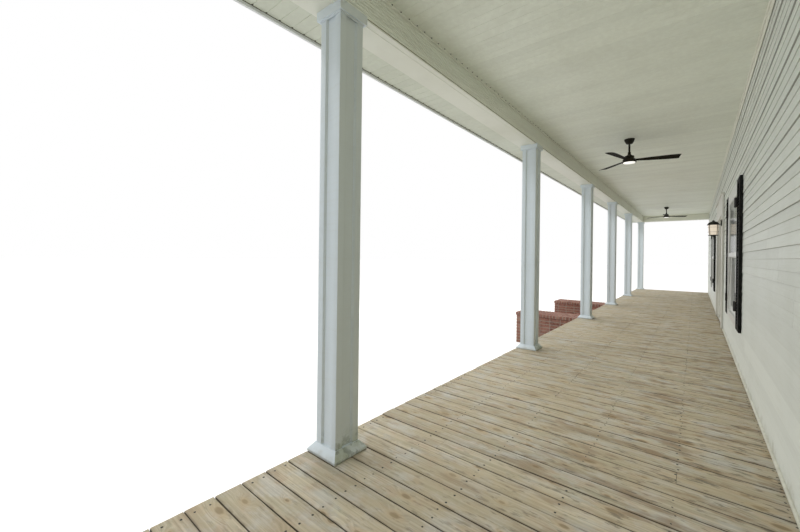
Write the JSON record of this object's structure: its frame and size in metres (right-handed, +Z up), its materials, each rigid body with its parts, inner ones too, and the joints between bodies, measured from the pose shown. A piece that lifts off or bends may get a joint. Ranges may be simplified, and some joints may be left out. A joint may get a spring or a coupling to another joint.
{
  "type": "front porch with deck, columns, shed roof and house wall",
  "caption": "Long timber porch: board deck on joists and brick piers, boxed columns and beam, panelled ceiling with fans, shed roof, siding wall with door and windows, brick steps.",
  "frame": {"origin": "on the ground, at the middle of the porch's whole length and depth", "axes": "+Y along the porch, +X from the yard to the house, +Z up"},
  "size_m": [3.68, 20.26, 4.5166],
  "materials": {
    "deck_pine": "weathered treated pine",
    "framing_pine": "rough treated pine",
    "red_brick": "fired brick in mortar",
    "siding": "satin vinyl",
    "trim": "satin vinyl",
    "column_wrap": "satin enamel",
    "ceiling_panel": "satin vinyl",
    "fascia": "satin enamel",
    "shingles": "mineral felt",
    "window_frame": "satin",
    "pane": "clear",
    "shutter": "satin",
    "door_paint": "satin paint",
    "dark_metal": "satin bronze",
    "blade": "satin stain",
    "lamp_glass": "opal"
  },
  "bodies": {
    "porch": {"deck_boards": "deck_pine", "floor_joists": "framing_pine", "floor_girders": "framing_pine", "front_rim": "framing_pine", "end_rims": "framing_pine", "brick_piers": "red_brick", "foundation_wall": "red_brick", "near_wall": "siding", "far_wall": "siding", "over_door_wall": "siding", "frieze_board": "trim", "column_1": "column_wrap", "column_2": "column_wrap", "column_3": "column_wrap", "column_4": "column_wrap", "column_5": "column_wrap", "column_6": "column_wrap", "column_7": "column_wrap", "column_bases": "column_wrap", "column_collars": "column_wrap", "front_beam": "trim", "end_beams": "trim", "porch_ceiling": "ceiling_panel", "eave_soffit": "ceiling_panel", "fascia_board": "fascia", "gable_walls": "siding", "rake_boards": "fascia", "rake_soffits": "ceiling_panel", "roof_rafters": "framing_pine", "roof_deck": "shingles", "near_window_frame": "window_frame", "far_window_frame": "window_frame", "window_glass": "pane", "window_shutters": "shutter", "door_frame": "door_paint", "door_hinges": "dark_metal", "wall_lantern": "dark_metal", "brick_steps": "red_brick", "cheek_walls": "red_brick", "fan_mounts": "dark_metal", "fan_lamps": "lamp_glass"},
    "near_fan": {"near_fan_blades": "blade"},
    "far_fan": {"far_fan_blades": "blade"},
    "entrance_door": {"front_door": "door_paint", "door_knob": "dark_metal"}
  },
  "joints": [
    {"name": "near_fan_turn", "type": "hinge", "parent": "porch", "child": "near_fan", "pos_m": [0.535, -1.78, 3.3455], "axis": [0, 0, 1], "continuous": true},
    {"name": "far_fan_turn", "type": "hinge", "parent": "porch", "child": "far_fan", "pos_m": [0.535, 6.845, 3.3455], "axis": [0, 0, 1], "continuous": true},
    {"name": "door_swing", "type": "hinge", "parent": "porch", "child": "entrance_door", "pos_m": [1.784, 2.24, 1.7], "axis": [0, 0, 1], "range_deg": [0, 90]}
  ]
}
